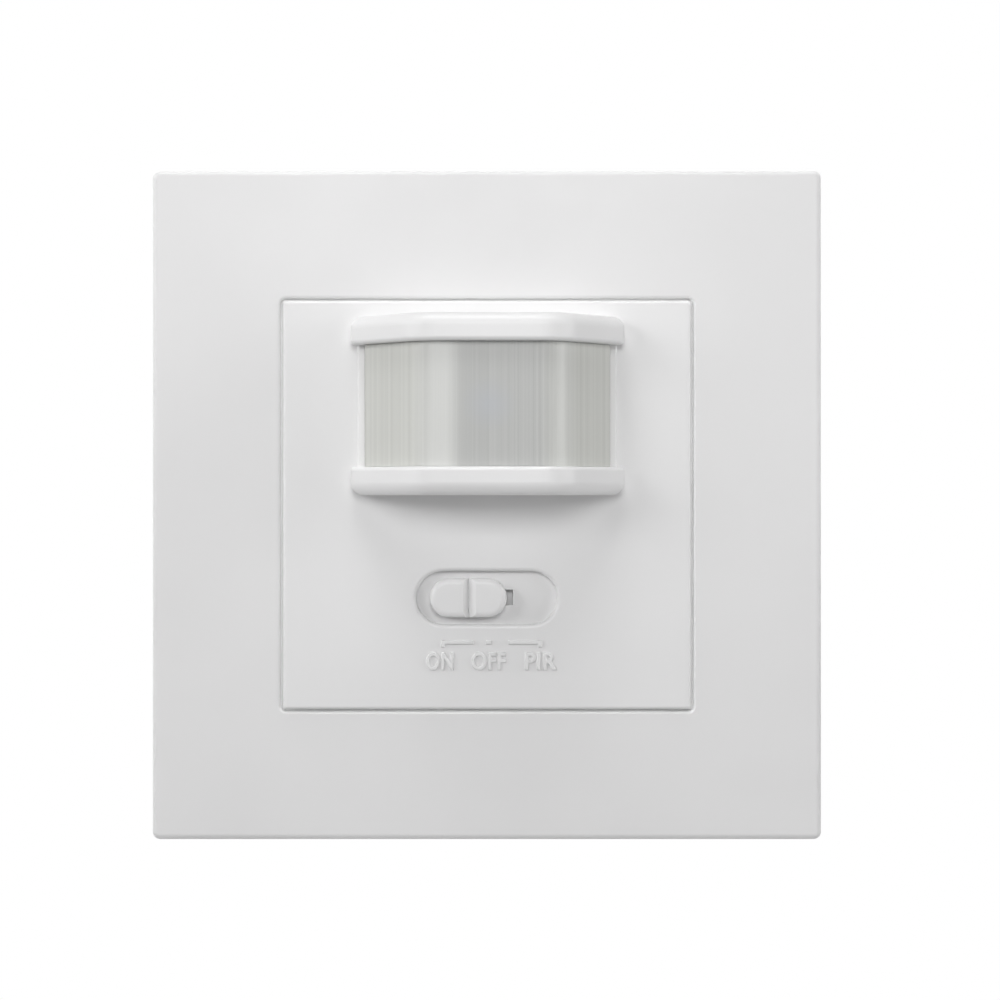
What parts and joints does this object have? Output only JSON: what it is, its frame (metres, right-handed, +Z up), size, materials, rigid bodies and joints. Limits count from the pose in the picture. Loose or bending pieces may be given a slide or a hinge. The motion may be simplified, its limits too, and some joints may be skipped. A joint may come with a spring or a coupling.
{
  "type": "motion sensor light switch",
  "caption": "Flush wall switch with a hooded passive-infrared lens over a slide knob, in a plain square plate, with strap, claws, boards and clamps behind.",
  "frame": {"origin": "middle between the two box screws, on the wall plane at the back of the strap and of the plate's rim", "axes": "+X to the right seen from the room, +Y into the wall, +Z up; the front faces -Y"},
  "size_m": [0.082, 0.0518, 0.082],
  "materials": {
    "white_shell": "satin moulded ABS, off-white",
    "white_cover": "satin moulded ABS, off-white",
    "white_knob": "satin moulded ABS, off-white",
    "lens_film": "milky translucent polyethylene with fine upright facets",
    "grey_plastic": "moulded, light grey",
    "zinc_steel": "bright zinc plate",
    "zinc_strap": "zinc-plated pressed sheet",
    "claw_steel": "zinc-plated pressed sheet",
    "screw_steel": "zinc plate",
    "brown_laminate": "paper laminate",
    "board_laminate": "green solder mask",
    "black_plastic": "moulded, black",
    "nickel_can": "nickel-plated can",
    "filter_window": "dark infrared filter",
    "photocell_face": "clear resin over a red-brown track",
    "led_red": "tinted resin",
    "trimmer_blue": "moulded, blue",
    "rotor_white": "moulded, white",
    "chip_black": "moulded epoxy",
    "housing_plastic": "fine-grained moulded plastic, pale grey",
    "relay_blue": "moulded, blue",
    "film_yellow": "moulded, yellow",
    "sleeve_black": "shrunk sleeve",
    "varistor_red": "dipped epoxy",
    "resistor_green": "cement coat",
    "brass": "plain, slightly dull",
    "block_plastic": "moulded polyamide, pale grey"
  },
  "bodies": {
    "base": {"front_frame": "white_shell", "front_cover": "white_cover", "fresnel_lens": "lens_film", "lens_retainer": "grey_plastic", "switch_shell": "zinc_steel", "switch_base": "brown_laminate", "sensor_board": "board_laminate", "sensor_spacer": "white_knob", "sensor_can": "nickel_can", "sensor_window": "filter_window", "photocell": "photocell_face", "indicator_led": "led_red", "time_trimmer_body": "trimmer_blue", "light_trimmer_body": "trimmer_blue", "controller_chip": "chip_black", "mounting_strap": "zinc_strap", "carrier": "grey_plastic", "carrier_screws": "screw_steel", "rear_housing": "housing_plastic", "power_board": "board_laminate", "relay": "relay_blue", "film_capacitor": "film_yellow", "can_capacitor": "sleeve_black", "varistor": "varistor_red", "fuse_resistor": "resistor_green", "rectifier_diodes": "chip_black", "voltage_regulator": "chip_black", "header_front": "black_plastic", "header_rear": "black_plastic", "header_pins": "brass", "terminal_block": "block_plastic", "terminal_tongues": "brass", "claw_pins": "screw_steel"},
    "slider": {"mode_knob": "white_knob", "switch_slider": "black_plastic", "switch_shutter": "white_knob"},
    "time_rotor": {"time_trimmer_rotor": "rotor_white"},
    "light_rotor": {"light_trimmer_rotor": "rotor_white"},
    "claw_right": {"claw_right": "claw_steel"},
    "nut_right": {"claw_nut_right": "brass"},
    "screw_right": {"claw_screw_right": "screw_steel"},
    "claw_left": {"claw_left": "claw_steel"},
    "nut_left": {"claw_nut_left": "brass"},
    "screw_left": {"claw_screw_left": "screw_steel"},
    "cage_1": {"terminal_cage_1": "brass"},
    "clamp_screw_1": {"terminal_screw_1": "screw_steel"},
    "cage_2": {"terminal_cage_2": "brass"},
    "clamp_screw_2": {"terminal_screw_2": "screw_steel"},
    "cage_3": {"terminal_cage_3": "brass"},
    "clamp_screw_3": {"terminal_screw_3": "screw_steel"}
  },
  "joints": [
    {"name": "mode_slide", "type": "slide", "parent": "base", "child": "slider", "axis": [1, 0, 0], "range_m": [0, 0.0046]},
    {"name": "time_adjust", "type": "hinge", "parent": "base", "child": "time_rotor", "pos_m": [-0.0155, -0.007, -0.0035], "axis": [0, 1, 0], "range_deg": [-105, 105]},
    {"name": "light_adjust", "type": "hinge", "parent": "base", "child": "light_rotor", "pos_m": [0.0155, -0.007, -0.0035], "axis": [0, 1, 0], "range_deg": [-105, 105]},
    {"name": "claw_screw_turn_right", "type": "hinge", "parent": "base", "child": "screw_right", "pos_m": [0.0264, 0, -0.007], "axis": [0, 1, 0], "range_deg": [0, 676.37]},
    {"name": "claw_nut_pull_right", "type": "slide", "parent": "base", "child": "nut_right", "axis": [0, -1, 0], "range_m": [0, 0.00094]},
    {"name": "claw_spread_right", "type": "hinge", "parent": "base", "child": "claw_right", "pos_m": [0.0224, 0.0024, -0.007], "axis": [0, 0, -1], "range_deg": [0, 18.01]},
    {"name": "claw_screw_turn_left", "type": "hinge", "parent": "base", "child": "screw_left", "pos_m": [-0.0264, 0, -0.007], "axis": [0, 1, 0], "range_deg": [0, 676.37]},
    {"name": "claw_nut_pull_left", "type": "slide", "parent": "base", "child": "nut_left", "axis": [0, -1, 0], "range_m": [0, 0.00094]},
    {"name": "claw_spread_left", "type": "hinge", "parent": "base", "child": "claw_left", "pos_m": [-0.0224, 0.0024, -0.007], "axis": [0, 0, 1], "range_deg": [0, 18.01]},
    {"name": "terminal_screw_turn_1", "type": "hinge", "parent": "base", "child": "clamp_screw_1", "pos_m": [-0.0084, 0.027, -0.018], "axis": [0, -1, 0], "range_deg": [0, 1584]},
    {"name": "cage_rise_1", "type": "slide", "parent": "base", "child": "cage_1", "axis": [0, 1, 0], "range_m": [0, 0.0022]},
    {"name": "terminal_screw_turn_2", "type": "hinge", "parent": "base", "child": "clamp_screw_2", "pos_m": [0, 0.027, -0.018], "axis": [0, -1, 0], "range_deg": [0, 1584]},
    {"name": "cage_rise_2", "type": "slide", "parent": "base", "child": "cage_2", "axis": [0, 1, 0], "range_m": [0, 0.0022]},
    {"name": "terminal_screw_turn_3", "type": "hinge", "parent": "base", "child": "clamp_screw_3", "pos_m": [0.0084, 0.027, -0.018], "axis": [0, -1, 0], "range_deg": [0, 1584]},
    {"name": "cage_rise_3", "type": "slide", "parent": "base", "child": "cage_3", "axis": [0, 1, 0], "range_m": [0, 0.0022]}
  ],
  "couplings": [
    {"joint": "claw_nut_pull_right", "follows": "claw_screw_turn_right", "m_per_rad": 0.000079577},
    {"joint": "claw_spread_right", "follows": "claw_screw_turn_right", "ratio": 0.026613},
    {"joint": "claw_nut_pull_left", "follows": "claw_screw_turn_left", "m_per_rad": 0.000079577},
    {"joint": "claw_spread_left", "follows": "claw_screw_turn_left", "ratio": 0.026613},
    {"joint": "terminal_screw_turn_1", "follows": "cage_rise_1", "rad_per_m": 12566},
    {"joint": "terminal_screw_turn_2", "follows": "cage_rise_2", "rad_per_m": 12566},
    {"joint": "terminal_screw_turn_3", "follows": "cage_rise_3", "rad_per_m": 12566}
  ]
}
